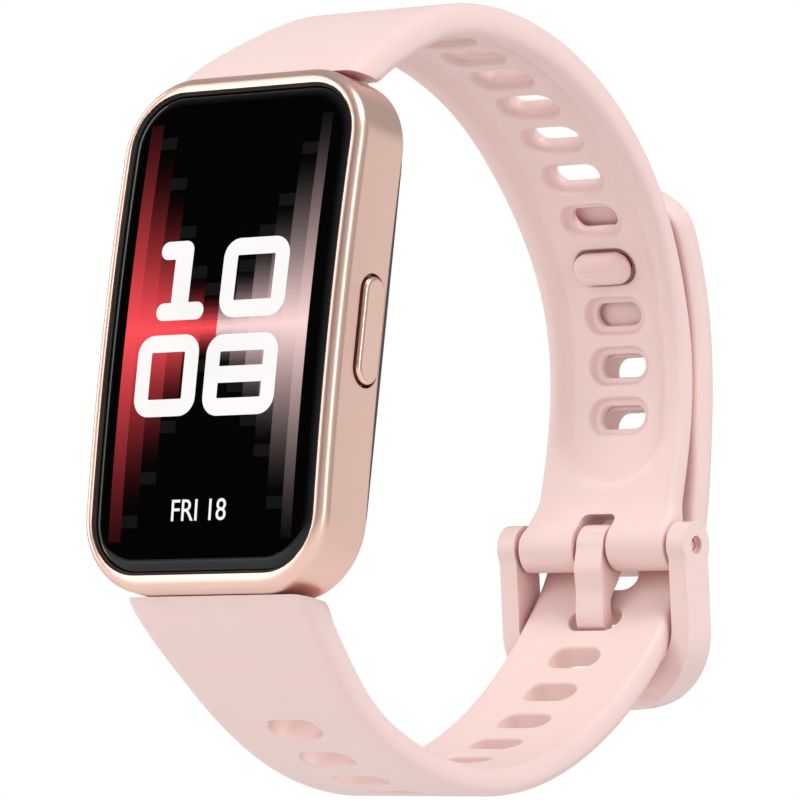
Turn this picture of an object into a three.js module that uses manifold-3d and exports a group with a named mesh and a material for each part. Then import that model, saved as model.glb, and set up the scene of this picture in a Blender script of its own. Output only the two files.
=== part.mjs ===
import * as THREE from 'three';
import { mergeVertices } from 'three/addons/utils/BufferGeometryUtils.js';
import Module from 'manifold-3d';

// Fitness tracker band, closed as it is worn. Millimetres.
// +Z runs along the case from the lower strap to the upper strap, +X points to
// the side button, -Y is the direction the screen faces. The origin is the
// centre of the flat sensor window, where the case lies on the skin.

const CASE_WIDTH = 24.54;
const CASE_LENGTH = 42.4;
const CASE_FRONT = -8.99;
const CASE_REAR = -2.95;
const CORNER_RADIUS = 6.2;
const FRONT_ARCH = 0.00205;
const REAR_ARCH = 0.00134;
const GLASS_WIDTH = 22.16;
const GLASS_LENGTH = 39.53;
const GLASS_RADIUS = 4.6;
const CAVITY_WIDTH = 20.4;
const CAVITY_LENGTH = 35.6;
const GAP = 0.3;

const STRAP_ROOT = 21.53;
const UPPER_THICKNESS = 2.8;
const BACK_THICKNESS = 2.2;
const LOWER_THICKNESS = 2.4;
const UPPER_WIDTH = 15.5;
const LOWER_WIDTH = 15.2;
const ROOT_WIDTH = 18.6;
const UPPER_PITCH = 4.44;
const LOWER_PITCH = 4.76;
const PEEL_LINE = -1.5;

const PIN_Y = 46.57;
const PIN_Z = -7.27;
const PIN_RADIUS = 0.75;
const PIN_TIP_RADIUS = 0.5;
const RUNNING_GAP = 0.06;
const BARREL_RADIUS = 2.15;
const BARREL_HALF = 7.7;
const TONGUE_WIDTH = 2.8;
const TONGUE_SLOT = 3.6;
const FRAME_OUTER = 9.8;
const FRAME_INNER = 8.0;
const FRAME_REACH = 14.1;
const FRAME_BAR = 2.7;
const FRAME_DEPTH = 3.4;
const FRAME_LEAN = THREE.MathUtils.degToRad(13.5);

const BUTTON_Y = -5.09;
const BUTTON_LENGTH = 8.7;
const BUTTON_WIDTH = 2.7;

const wasm = await Module();
wasm.setup();

const band = new THREE.Group();

// ---------------------------------------------------------------- solids

function toSolid(geometry) {
  const bare = geometry.clone();
  bare.deleteAttribute('normal');
  bare.deleteAttribute('uv');
  const merged = mergeVertices(bare, 1e-4);
  return new wasm.Manifold(new wasm.Mesh({
    numProp: 3,
    vertProperties: new Float32Array(merged.attributes.position.array),
    triVerts: new Uint32Array(merged.index.array),
  }));
}

function toGeometry(solid) {
  const mesh = solid.getMesh();
  const geometry = new THREE.BufferGeometry();
  geometry.setAttribute('position', new THREE.BufferAttribute(mesh.vertProperties, 3));
  geometry.setIndex(new THREE.BufferAttribute(mesh.triVerts, 1));
  geometry.computeVertexNormals();
  return geometry;
}

function cut(geometry, ...cutters) {
  let solid = toSolid(geometry);
  for (const cutter of cutters) {
    solid = solid.subtract(toSolid(cutter));
  }
  return toGeometry(solid);
}

function join(geometry, ...others) {
  let solid = toSolid(geometry);
  for (const other of others) {
    solid = solid.add(toSolid(other));
  }
  return toGeometry(solid);
}

function common(geometry, other) {
  return toGeometry(toSolid(geometry).intersect(toSolid(other)));
}

function addNode(name, geometry, color, roughness, metalness) {
  const material = new THREE.MeshStandardMaterial({ color, roughness, metalness });
  const mesh = new THREE.Mesh(geometry, material);
  mesh.name = name;
  band.add(mesh);
  return mesh;
}

// ---------------------------------------------------------------- outlines

function roundedRect(width, height, radius, cx = 0, cy = 0) {
  const shape = new THREE.Shape();
  const a = width / 2 - radius;
  const b = height / 2 - radius;
  shape.absarc(cx + a, cy + b, radius, 0, Math.PI / 2);
  shape.absarc(cx - a, cy + b, radius, Math.PI / 2, Math.PI);
  shape.absarc(cx - a, cy - b, radius, Math.PI, 1.5 * Math.PI);
  shape.absarc(cx + a, cy - b, radius, 1.5 * Math.PI, 2 * Math.PI);
  return shape;
}

function polygon(points) {
  return new THREE.Shape(points.map(([a, b]) => new THREE.Vector2(a, b)));
}

// Slab with its outline in the X-Z plane, between two depths along Y.
function plate(shape, low, high, segments = 4) {
  const depth = high - low;
  const geometry = new THREE.ExtrudeGeometry(shape, {
    depth, bevelEnabled: false, curveSegments: segments,
  });
  geometry.rotateX(Math.PI / 2);
  geometry.translate(0, high, 0);
  return geometry;
}

// Prism with its outline in the Y-Z plane, between two stations along X.
function prism(shape, low, high, bevel = 0, segments = 6) {
  const geometry = new THREE.ExtrudeGeometry(shape, {
    depth: high - low - 2 * bevel,
    bevelEnabled: bevel > 0,
    bevelSize: bevel,
    bevelOffset: -bevel,
    bevelThickness: bevel,
    bevelSegments: 1,
    curveSegments: segments,
  });
  geometry.translate(0, 0, low + bevel);
  geometry.applyMatrix4(new THREE.Matrix4().makeBasis(
    new THREE.Vector3(0, 1, 0),
    new THREE.Vector3(0, 0, 1),
    new THREE.Vector3(1, 0, 0),
  ));
  return geometry;
}

function block(x0, x1, y0, y1, z0, z1) {
  const geometry = new THREE.BoxGeometry(x1 - x0, y1 - y0, z1 - z0);
  geometry.translate((x0 + x1) / 2, (y0 + y1) / 2, (z0 + z1) / 2);
  return geometry;
}

function rodX(radius, x0, x1, y, z, segments = 24) {
  const geometry = new THREE.CylinderGeometry(radius, radius, x1 - x0, segments);
  geometry.rotateZ(Math.PI / 2);
  geometry.translate((x0 + x1) / 2, y, z);
  return geometry;
}

function discY(radius, y0, y1, x, z, segments = 24) {
  const geometry = new THREE.CylinderGeometry(radius, radius, y1 - y0, segments);
  geometry.translate(x, (y0 + y1) / 2, z);
  return geometry;
}

function frontAt(z) {
  return CASE_FRONT + FRONT_ARCH * z * z;
}

// ---------------------------------------------------------------- case

// Side view of the case: gently arched front and rear, rounded ends.
function caseProfile(front, halfLength, rear, corner) {
  const points = [];
  const stations = 10;
  const reach = halfLength - corner;
  for (let i = 0; i <= stations; i += 1) {
    const z = -reach + (2 * reach * i) / stations;
    points.push([front + FRONT_ARCH * z * z, z]);
  }
  points.push([frontAt(halfLength) - CASE_FRONT + front + corner * 0.3, halfLength - corner * 0.3]);
  points.push([frontAt(halfLength) - CASE_FRONT + front + corner, halfLength]);
  for (const z of [halfLength, -halfLength]) {
    points.push([rear + REAR_ARCH * z * z, z]);
  }
  points.push([frontAt(halfLength) - CASE_FRONT + front + corner, -halfLength]);
  points.push([frontAt(halfLength) - CASE_FRONT + front + corner * 0.3, -halfLength + corner * 0.3]);
  return polygon(points.reverse());
}

function strapPocket(side) {
  const z0 = side > 0 ? 19.3 : -24;
  return [
    block(-6.3, 6.3, -5.2, -2.75, z0, z0 + 4.7),
    block(6.2, 8.0, -4.9, -3.1, side * 19.95 - 0.65, side * 19.95 + 0.65),
  ];
}

function midFrame() {
  const half = CASE_WIDTH / 2;
  const outer = plate(roundedRect(CASE_WIDTH, CASE_LENGTH, CORNER_RADIUS), -9.5, -1.5, 7);
  const profile = caseProfile(CASE_FRONT, CASE_LENGTH / 2, CASE_REAR, 0.9);
  const body = common(outer, prism(profile, -half, half, 0.7));
  const seat = plate(roundedRect(GLASS_WIDTH + 0.3, GLASS_LENGTH + 0.3, GLASS_RADIUS), -9.5, -6.3, 6);
  const cavity = plate(roundedRect(CAVITY_WIDTH, CAVITY_LENGTH, 3.4), -6.5, -1);
  const rabbet = plate(roundedRect(23.0, 37.4, 4.4), -4.0, -1);
  const pocket = prism(
    roundedRect(BUTTON_WIDTH + 0.7, BUTTON_LENGTH + 0.7, 1.69, BUTTON_Y, 0), 10.95, 13, 0, 4,
  );
  const stemHole = rodX(0.9, 9, 11.5, BUTTON_Y, 0, 20);
  const sealSeat = rodX(1.5, 9, 10.6, BUTTON_Y, 0, 20);
  return cut(
    body, seat, cavity, rabbet, pocket, stemHole, sealSeat,
    ...strapPocket(1), ...strapPocket(-1),
  );
}

function coverGlass() {
  const outline = plate(roundedRect(GLASS_WIDTH - 0.3, GLASS_LENGTH - 0.3, GLASS_RADIUS), -9.5, -7.3, 6);
  const profile = caseProfile(CASE_FRONT, GLASS_LENGTH / 2 - 0.15, -5.5, 0.7);
  return common(outline, prism(profile, -GLASS_WIDTH / 2 + 0.15, GLASS_WIDTH / 2 - 0.15, 0.5));
}

function ring(shape, hole, low, high) {
  shape.holes.push(hole);
  return plate(shape, low, high);
}

function rearCover() {
  const flange = plate(roundedRect(22.4, 36.8, 4.2), -2.6, -1.4);
  const crown = plate(roundedRect(20.6, 34.6, 4.0), -1.5, -0.9);
  const bump = plate(roundedRect(16.6, 19.4, 6.6), -1.0, -0.35);
  const opening = plate(roundedRect(12.4, 14.4, 5.4), -3, 0.5);
  const body = join(flange, crown, bump);
  return cut(
    body, opening,
    discY(1.35, -3, 0.5, -2.6, -14, 20), discY(1.35, -3, 0.5, 2.6, -14, 20),
  );
}

function buttonCap() {
  const cap = prism(
    roundedRect(BUTTON_WIDTH, BUTTON_LENGTH, 1.2, BUTTON_Y, 0), 11.35, 12.7, 0.25, 4,
  );
  return join(cap, rodX(0.6, 9.75, 11.6, BUTTON_Y, 0, 16));
}

function switchBracket() {
  const wall = block(7.4, 7.8, -5.95, -3.3, -4, 4);
  const foot = block(7.4, 9.3, -3.7, -3.3, -4, 4);
  return join(wall, foot);
}

function buildCase() {
  addNode('mid_frame', midFrame(), 0xe9b9a6, 0.34, 0.85);
  addNode('cover_glass', coverGlass(), 0x050506, 0.05, 0.0);
  addNode(
    'glass_gasket',
    ring(roundedRect(21.7, 39.0, 4.3), roundedRect(20.0, 37.2, 3.4), -7.0, -6.6),
    0x101012, 0.8, 0.0,
  );
  addNode('display_panel', plate(roundedRect(19.0, 34.8, 3.2), -7.0, -6.1), 0x0a0a0c, 0.2, 0.0);
  addNode('display_flex', block(-3.5, 3.5, -5.8, -5.6, 4.5, 9.5), 0xb0702a, 0.5, 0.0);
  addNode('main_board', block(-9.2, 4.4, -5.3, -4.5, 4.6, 16.6), 0x1d4a32, 0.6, 0.1);
  addNode('board_shield', block(-7.6, 2.6, -4.2, -3.3, 6.4, 15.2), 0xb9bcc0, 0.35, 0.9);
  addNode('battery', block(-8.9, 7.0, -5.7, -3.3, -16.2, 3.9), 0x8f949b, 0.4, 0.6);
  addNode('vibration_motor', block(5.0, 9.2, -5.6, -3.3, 6.0, 16.0), 0xa8abb0, 0.35, 0.9);
  addNode('rear_cover', rearCover(), 0x111214, 0.45, 0.0);
  addNode(
    'rear_seal',
    ring(roundedRect(22.3, 36.7, 4.1), roundedRect(20.9, 35.3, 3.4), -3.65, -2.95),
    0x202022, 0.8, 0.0,
  );
  addNode('sensor_window', plate(roundedRect(11.8, 13.8, 5.1), -1.2, 0), 0x08090b, 0.06, 0.0);
  addNode('sensor_board', block(-4.2, 4.2, -2.95, -2.35, -5.2, 5.2), 0x173d2b, 0.6, 0.1);
  addNode('sensor_led', block(-1.2, 1.2, -2.0, -1.55, -1.0, 1.0), 0xe8f0d8, 0.3, 0.0);
  addNode('photodiode_upper', block(-1.6, 1.6, -2.0, -1.55, 2.6, 4.6), 0x1a1a20, 0.2, 0.0);
  addNode('photodiode_lower', block(-1.6, 1.6, -2.0, -1.55, -4.6, -2.6), 0x1a1a20, 0.2, 0.0);
  addNode('charge_contact_left', discY(1.05, -2.9, -0.8, -2.6, -14, 20), 0xd9c089, 0.25, 1.0);
  addNode('charge_contact_right', discY(1.05, -2.9, -0.8, 2.6, -14, 20), 0xd9c089, 0.25, 1.0);
  addNode('button_cap', buttonCap(), 0xecbca9, 0.3, 0.85);
  const seal = cut(
    rodX(1.2, 10.2, 10.5, BUTTON_Y, 0, 20),
    rodX(0.66, 10, 11, BUTTON_Y, 0, 20),
  );
  addNode('button_seal', seal, 0x1b1b1d, 0.8, 0.0);
  addNode('button_switch', block(8.1, 9.4, -5.95, -4.0, -2.2, 2.2), 0x2a2b2e, 0.5, 0.2);
  addNode('switch_bracket', switchBracket(), 0xc2c5c9, 0.35, 0.9);
}

// ---------------------------------------------------------------- straps

// Centre line of the upper strap in the Y-Z plane, from inside the case end to
// the barrel of the buckle.
const upperLine = new THREE.CatmullRomCurve3([
  [-5.35, 20.2], [-4.0, 21.6], [2.2, 26.0], [7.2, 28.85], [12.85, 30.45],
  [18.8, 30.75], [24.75, 29.95], [30.35, 28.05], [35.5, 25.05], [40.1, 21.1],
  [43.8, 16.3], [46.35, 10.8], [47.45, 4.9], [47.4, -1.0], [46.9, -6.5],
].map(([y, z]) => new THREE.Vector3(0, y, z)), false, 'centripetal');

// Centre line of the lower strap, round the back and up over the upper strap.
const lowerLine = new THREE.CatmullRomCurve3([
  [-5.35, -20.2], [-4.0, -21.6], [1.35, -25.6], [6.35, -28.75], [11.8, -30.75],
  [17.5, -31.65], [23.4, -31.5], [29.2, -30.05], [34.6, -27.4], [39.45, -23.9],
  [43.75, -19.5], [47.3, -14.5], [49.85, -9.6], [50.55, -4.0], [50.25, 2.0],
  [49.55, 8.0], [48.0, 14.0], [45.2, 19.6], [42.1, 23.4],
].map(([y, z]) => new THREE.Vector3(0, y, z)), false, 'centripetal');

upperLine.arcLengthDivisions = 600;
lowerLine.arcLengthDivisions = 600;

// Axes of the strap at a distance along its centre line: across, along, normal.
function strapAxes(line, distance) {
  const u = distance / line.getLength();
  const along = line.getTangentAt(u);
  const across = new THREE.Vector3(1, 0, 0);
  const normal = new THREE.Vector3().crossVectors(along, across);
  return { at: line.getPointAt(u), across, along, normal };
}

// Distance along a centre line at which it passes a height, searching backwards.
function distanceAtHeight(line, height, from) {
  const length = line.getLength();
  let distance = from;
  const start = Math.sign(line.getPointAt(from / length).z - height);
  while (Math.sign(line.getPointAt(distance / length).z - height) === start) {
    distance += 0.02;
  }
  return distance;
}

// Straps are widest at the case and settle to an even width.
function strapWidth(distance, width) {
  const flare = THREE.MathUtils.clamp(1 - (distance - 1.5) / 18, 0, 1);
  return width + (ROOT_WIDTH - width) * flare * flare;
}

// Sweeps a rounded section along a centre line with changing width and thickness.
function sweep(line, steps, start, end, widthAt, thicknessAt) {
  const corner = 0.8;
  const base = 4;
  const geometry = new THREE.ExtrudeGeometry(roundedRect(base, base, corner), {
    depth: 1, steps, bevelEnabled: false, curveSegments: 2,
  });
  const position = geometry.attributes.position;
  const inner = base / 2 - corner;
  for (let i = 0; i < position.count; i += 1) {
    const distance = start + (end - start) * position.getZ(i);
    const { at, across, along, normal } = strapAxes(line, distance);
    const x = position.getX(i);
    const y = position.getY(i);
    const w = widthAt(distance) / 2 - corner;
    const t = thicknessAt(distance) / 2 - corner;
    const dx = Math.sign(x) * w + (x - Math.sign(x) * inner);
    const dy = Math.sign(y) * t + (y - Math.sign(y) * inner);
    at.addScaledVector(across, dx).addScaledVector(normal, dy);
    position.setXYZ(i, at.x, at.y, at.z);
  }
  return geometry;
}

// Pill-shaped solid lying across the strap, from one level to another along the
// strap's normal.
function pill(line, distance, length, width, from, to) {
  const { at, across, along, normal } = strapAxes(line, distance);
  const geometry = new THREE.ExtrudeGeometry(roundedRect(length, width, width / 2 - 0.01), {
    depth: to - from, bevelEnabled: false, curveSegments: 2,
  });
  at.addScaledVector(normal, to);
  const matrix = new THREE.Matrix4().makeBasis(across, along, normal.negate());
  matrix.setPosition(at);
  return geometry.applyMatrix4(matrix);
}

const studDistance = distanceAtHeight(upperLine, 16.95, 40);
const tongueDistance = distanceAtHeight(lowerLine, -14.25, 45);

function upperSlots() {
  const cutters = [];
  for (let i = -7; i <= 3; i += 1) {
    const distance = studDistance + i * UPPER_PITCH;
    cutters.push(pill(upperLine, distance, 4.6, 2.0, -3, 3));
    cutters.push(pill(upperLine, distance, 6.2, 3.3, i < -2 ? 0.5 : 0.35, 3));
  }
  return cutters;
}

function lowerSlots() {
  const cutters = [];
  for (let i = -10; i <= 5; i += 1) {
    cutters.push(pill(lowerLine, tongueDistance + i * LOWER_PITCH, 5.2, 2.6, -3, 3));
  }
  return cutters;
}

// Room inside the strap's end for the link and its latch.
function linkRoom(side) {
  const outline = [
    [-5.2, 20.6], [-2.75, 20.6], [-2.75, 21.5], [-0.65, 23.55],
    [-1.85, 24.8], [-4.6, 22.15], [-5.2, 21.6],
  ];
  return prism(mirrored(outline, side), -6.9, 6.9);
}

function mirrored(outline, side) {
  const points = outline.map(([y, z]) => [y, side * z]);
  return polygon(side > 0 ? points : points.reverse());
}

function knobWindow(side) {
  return knobBlock(3.1, 6.1, 2.4, 4.0, side);
}

// Block square to the strap's inner face, where the latch knob comes through.
function knobBlock(x0, x1, length, height, side) {
  const lean = side * THREE.MathUtils.degToRad(45);
  const geometry = new THREE.BoxGeometry(x1 - x0, length, height);
  geometry.translate(0, 0, -side * height / 2);
  geometry.rotateX(lean);
  geometry.translate((x0 + x1) / 2, -2.2, side * 22.95);
  return geometry;
}

function caseEndTrim(side) {
  return side > 0
    ? block(-15, 15, -20, 8, 0, STRAP_ROOT)
    : block(-15, 15, -20, 8, -STRAP_ROOT, 0);
}

function upperStrap() {
  const length = upperLine.getLength();
  const widthAt = (distance) => strapWidth(distance, UPPER_WIDTH);
  const thicknessAt = (distance) => {
    const blend = THREE.MathUtils.smoothstep(distance, 30, 58);
    return THREE.MathUtils.lerp(UPPER_THICKNESS, BACK_THICKNESS, blend);
  };
  const body = sweep(upperLine, 34, 0, length, widthAt, thicknessAt);
  const barrel = rodX(BARREL_RADIUS, -BARREL_HALF, BARREL_HALF, PIN_Y, PIN_Z);
  const bore = rodX(PIN_RADIUS + RUNNING_GAP, -20, 20, PIN_Y, PIN_Z);
  const gate = block(-TONGUE_SLOT / 2, TONGUE_SLOT / 2, 40, 55, -12, PIN_Z + 2.75);
  return cut(
    join(body, barrel), caseEndTrim(1), linkRoom(1), knobWindow(1),
    bore, gate, ...upperSlots(),
  );
}

function wholeLowerStrap() {
  const length = lowerLine.getLength();
  const tip = 4.5;
  const widthAt = (distance) => {
    const over = Math.max(0, distance - (length - tip)) / tip;
    return strapWidth(distance, LOWER_WIDTH) * (1 - 0.55 * over * over);
  };
  const thicknessAt = (distance) => {
    const root = 1 - THREE.MathUtils.smoothstep(distance, 7, 18);
    const thinTip = distance > length - 2 ? 0.4 : 0;
    return THREE.MathUtils.lerp(LOWER_THICKNESS, UPPER_THICKNESS, root) - thinTip;
  };
  return sweep(lowerLine, 44, 0, length, widthAt, thicknessAt);
}

function lowerStrap() {
  return cut(
    wholeLowerStrap(), caseEndTrim(-1), linkRoom(-1), knobWindow(-1),
    block(-20, 20, 20, 70, PEEL_LINE - 0.15, 40), ...lowerSlots(),
  );
}

function lowerStrapTail() {
  const studSeat = pill(upperLine, studDistance, 4.6, 2.2, -3.5, 0);
  return cut(
    wholeLowerStrap(), block(-20, 20, -20, 70, -60, PEEL_LINE + 0.15),
    studSeat, ...lowerSlots(),
  );
}

function tailStud() {
  const head = pill(upperLine, studDistance, 5.5, 2.6, 0.7, 1.5);
  const neck = pill(upperLine, studDistance, 3.9, 1.4, -3.1, 0.9);
  return join(head, neck);
}

// Stiff link moulded into a strap end; it plugs into the pocket in the case end.
function endLink(side, x0, x1) {
  const outline = [
    [-4.85, 19.65], [-3.1, 19.65], [-3.1, 21.65], [-1.1, 23.6],
    [-1.85, 24.35], [-4.4, 21.9], [-4.85, 21.3],
  ];
  return prism(mirrored(outline, side), x0, x1);
}

// Sliding latch of the quick release: a nose that locks in the pocket wall and
// a knob on the skin side of the strap.
function endLatch(side) {
  const nose = block(6.2, 7.6, -4.55, -3.4, side * 19.95 - 0.25, side * 19.95 + 0.3);
  const knob = knobBlock(4.6, 5.8, 1.5, 2.6, side);
  return join(endLink(side, 3.6, 5.95), block(5.5, 6.3, -4.55, -3.4, side * 19.95 - 0.25, side * 19.95 + 0.3),
    nose, knob);
}

// ---------------------------------------------------------------- buckle

function pinSolid() {
  const reach = 9.4;
  const points = [
    [0, -reach], [PIN_TIP_RADIUS, -reach], [PIN_TIP_RADIUS, -BARREL_HALF],
    [PIN_RADIUS, -BARREL_HALF], [PIN_RADIUS, BARREL_HALF],
    [PIN_TIP_RADIUS, BARREL_HALF], [PIN_TIP_RADIUS, reach], [0, reach],
  ].map(([r, x]) => new THREE.Vector2(r, x));
  const geometry = new THREE.LatheGeometry(points, 24);
  geometry.rotateZ(-Math.PI / 2);
  geometry.translate(0, PIN_Y, PIN_Z);
  return toGeometry(toSolid(geometry));
}

// U-shaped frame in its own plane, which leans outwards from the pin.
function buckleFrame() {
  const outer = roundedRect(2 * FRAME_OUTER, 2 * FRAME_REACH, 6.8);
  const inner = roundedRect(2 * FRAME_INNER, 2 * (FRAME_REACH - FRAME_BAR), 4.6);
  outer.holes.push(inner);
  const loop = new THREE.ExtrudeGeometry(outer, { depth: 8, bevelEnabled: false, curveSegments: 6 });
  const down = new THREE.Vector3(0, Math.sin(FRAME_LEAN), -Math.cos(FRAME_LEAN));
  const across = new THREE.Vector3(1, 0, 0);
  const through = new THREE.Vector3().crossVectors(across, down);
  loop.translate(0, 0, -4);
  loop.applyMatrix4(new THREE.Matrix4().makeBasis(across, down, through));
  loop.translate(0, PIN_Y, PIN_Z);
  return cut(
    common(loop, armProfile()),
    rodX(PIN_TIP_RADIUS + RUNNING_GAP, -20, 20, PIN_Y, PIN_Z),
    rodX(0.8, 9.35, 12, PIN_Y, PIN_Z),
    rodX(0.8, -12, -9.35, PIN_Y, PIN_Z),
  );
}

// Side view of the buckle frame: a round head about the pin and an even limb.
function armProfile() {
  const shape = new THREE.Shape();
  const half = FRAME_DEPTH / 2;
  const head = half + 0.3;
  const start = Math.acos(half / head);
  const round = 1.1;
  shape.moveTo(-half, head * Math.sin(start));
  shape.lineTo(-half, FRAME_REACH - round);
  shape.quadraticCurveTo(-half, FRAME_REACH, -half + round, FRAME_REACH);
  shape.lineTo(half - round, FRAME_REACH);
  shape.quadraticCurveTo(half, FRAME_REACH, half, FRAME_REACH - round);
  shape.absarc(0, 0, head, start, -Math.PI - start, true);
  const geometry = new THREE.ExtrudeGeometry(shape, {
    depth: 2 * FRAME_OUTER - 0.8, bevelEnabled: true, bevelSize: 0.4, bevelOffset: -0.4,
    bevelThickness: 0.4, bevelSegments: 1, curveSegments: 6,
  });
  const down = new THREE.Vector3(0, Math.sin(FRAME_LEAN), -Math.cos(FRAME_LEAN));
  const across = new THREE.Vector3(1, 0, 0);
  const outward = new THREE.Vector3().crossVectors(down, across);
  geometry.translate(0, 0, -FRAME_OUTER + 0.4);
  geometry.applyMatrix4(new THREE.Matrix4().makeBasis(outward, down, across));
  geometry.translate(0, PIN_Y, PIN_Z);
  return geometry;
}

// Tongue in side view, as distances from the pin and angles from straight down
// towards the outside.
function tongue() {
  const outline = [
    [1.9, -95], [3.0, -42], [4.45, -17], [5.6, -12], [6.7, -8], [7.35, -4],
    [7.35, 4], [6.3, 6], [5.5, 1.5], [4.5, -0.5], [3.0, 16], [1.9, 60],
  ].map(([r, degrees]) => {
    const a = THREE.MathUtils.degToRad(degrees);
    return [PIN_Y + r * Math.sin(a), PIN_Z - r * Math.cos(a)];
  });
  const half = TONGUE_WIDTH / 2;
  const limb = prism(polygon(outline), -half, half);
  const eye = rodX(1.95, -half, half, PIN_Y, PIN_Z);
  return cut(join(limb, eye), rodX(PIN_RADIUS + RUNNING_GAP, -20, 20, PIN_Y, PIN_Z));
}

function buildStraps() {
  addNode('upper_strap', upperStrap(), 0xf2cfca, 0.55, 0.0);
  addNode('lower_strap', lowerStrap(), 0xf2cfca, 0.55, 0.0);
  addNode('lower_strap_tail', lowerStrapTail(), 0xf2cfca, 0.55, 0.0);
  addNode('tail_stud', tailStud(), 0xf0c4bd, 0.25, 0.1);
  for (const [name, side] of [['upper', 1], ['lower', -1]]) {
    addNode(`${name}_end_link`, endLink(side, -6.0, 1.9), 0xcfd1d4, 0.4, 0.8);
    addNode(`${name}_end_latch`, endLatch(side), 0xd6d8db, 0.35, 0.85);
  }
}

function buildBuckle() {
  addNode('buckle_pin', pinSolid(), 0xdcb3a8, 0.3, 0.9);
  addNode('buckle_frame', buckleFrame(), 0xf0cbc5, 0.35, 0.1);
  addNode('buckle_tongue', tongue(), 0xf0cbc5, 0.35, 0.1);
}

buildCase();
buildStraps();
buildBuckle();

export default band;
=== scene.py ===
import math

import bmesh
import bpy
from mathutils import Matrix, Vector


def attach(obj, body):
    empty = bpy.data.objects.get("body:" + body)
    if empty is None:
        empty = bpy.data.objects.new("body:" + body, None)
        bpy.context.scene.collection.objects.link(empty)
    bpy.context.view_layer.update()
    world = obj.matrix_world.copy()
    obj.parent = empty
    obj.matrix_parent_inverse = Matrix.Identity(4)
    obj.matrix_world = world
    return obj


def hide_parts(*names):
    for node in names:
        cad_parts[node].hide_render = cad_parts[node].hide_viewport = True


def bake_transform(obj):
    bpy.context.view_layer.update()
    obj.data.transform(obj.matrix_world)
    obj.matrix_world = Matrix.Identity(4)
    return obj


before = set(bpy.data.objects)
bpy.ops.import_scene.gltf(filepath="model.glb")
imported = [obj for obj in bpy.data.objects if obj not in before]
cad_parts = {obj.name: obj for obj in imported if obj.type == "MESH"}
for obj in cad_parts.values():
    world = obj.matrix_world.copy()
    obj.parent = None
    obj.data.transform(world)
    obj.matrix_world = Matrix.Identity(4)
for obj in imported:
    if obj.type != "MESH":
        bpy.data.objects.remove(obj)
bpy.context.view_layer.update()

# Fitness tracker band, closed as it is worn. Pieces are shaped in millimetres
# and settled into metres when they are finished. +Z runs up the case, +X points
# to the side button and -Y is the way the screen faces.

CASE_WIDTH = 24.54
CASE_LENGTH = 42.4
CASE_FRONT = -8.99
CASE_REAR = -2.95
FRONT_ARCH = 0.00205
REAR_ARCH = 0.00134
BUTTON_Y = -5.09
PIN_Y = 46.57
PIN_Z = -7.27
LEAN = math.radians(13.5)
STRAP_ROOT = 21.27
UPPER_PITCH = 4.44
LOWER_PITCH = 4.76
SLOT_PANEL = 4.2
ROOT_WIDTH = 18.6
ROOT_TUCK = 0.32
UPPER_WIDTH = 15.5
LOWER_WIDTH = 15.2
UPPER_ROOT_THICKNESS = 2.8
UPPER_THICKNESS = 2.2
SCOOP_HALF = 5.9
SCOOP_DEPTH = 0.8
LEDGE_DEPTH = 0.62
# half length, half width and rim radius of a slot in the lower strap
LOWER_SLOT = (2.6, 1.27, 0.26)
BARREL_RADIUS = 2.15
GATE_HALF = 1.8
FRAME_WIDTH = 19.6
TONGUE_HALF = 1.4
FLOOR_HEIGHT = -0.13


# ------------------------------------------------------------ bench helpers

def clear_bench():
    if bpy.context.object and bpy.context.object.mode != "OBJECT":
        bpy.ops.object.mode_set(mode="OBJECT")
    bpy.ops.object.select_all(action="DESELECT")


def hold(obj):
    clear_bench()
    obj.select_set(True)
    bpy.context.view_layer.objects.active = obj
    return obj


def open_edit(obj, kind="EDGE"):
    hold(obj)
    bpy.ops.object.mode_set(mode="EDIT")
    bpy.ops.mesh.select_mode(type=kind)
    bpy.ops.mesh.select_all(action="DESELECT")
    return bmesh.from_edit_mesh(obj.data)


def close_edit():
    bpy.ops.object.mode_set(mode="OBJECT")


def block(name, low, high):
    """A cube primitive stretched between two corners."""
    clear_bench()
    middle = [(a + b) / 2 for a, b in zip(low, high)]
    bpy.ops.mesh.primitive_cube_add(size=1, location=middle)
    obj = bpy.context.object
    obj.name = name
    obj.scale = [b - a for a, b in zip(low, high)]
    bpy.ops.object.transform_apply(location=True, rotation=True, scale=True)
    return obj


def rod(name, radius, low, high, y, z, sides=48):
    """A round bar along X."""
    clear_bench()
    bpy.ops.mesh.primitive_cylinder_add(
        vertices=sides, radius=radius, depth=high - low,
        location=((low + high) / 2, y, z), rotation=(0, math.pi / 2, 0))
    obj = bpy.context.object
    obj.name = name
    bpy.ops.object.transform_apply(location=True, rotation=True, scale=True)
    return obj


def rounded(width, height, radius, steps=10):
    """Outline of a rectangle with round corners, anticlockwise."""
    points = []
    for cx, cy, turn in ((1, 1, 0), (-1, 1, 1), (-1, -1, 2), (1, -1, 3)):
        for k in range(steps + 1):
            a = (turn + k / steps) * math.pi / 2
            points.append((cx * (width / 2 - radius) + radius * math.cos(a),
                           cy * (height / 2 - radius) + radius * math.sin(a)))
    return points


def cut_sheet(name, outline, thickness, matrix):
    """A flat shape cut to an outline, pushed out to its thickness, then laid in place."""
    clear_bench()
    bpy.ops.mesh.primitive_circle_add(vertices=len(outline), fill_type="NGON")
    obj = bpy.context.object
    obj.name = name
    for vertex, (a, b) in zip(obj.data.vertices, outline):
        vertex.co = (a, b, 0)
    open_edit(obj, "FACE")
    bpy.ops.mesh.select_all(action="SELECT")
    bpy.ops.mesh.extrude_region_move(TRANSFORM_OT_translate={"value": (0, 0, thickness)})
    bpy.ops.mesh.select_all(action="SELECT")
    bpy.ops.mesh.normals_make_consistent(inside=False)
    close_edit()
    obj.data.transform(matrix)
    if matrix.to_3x3().determinant() < 0:
        obj.data.flip_normals()
    return obj


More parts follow.
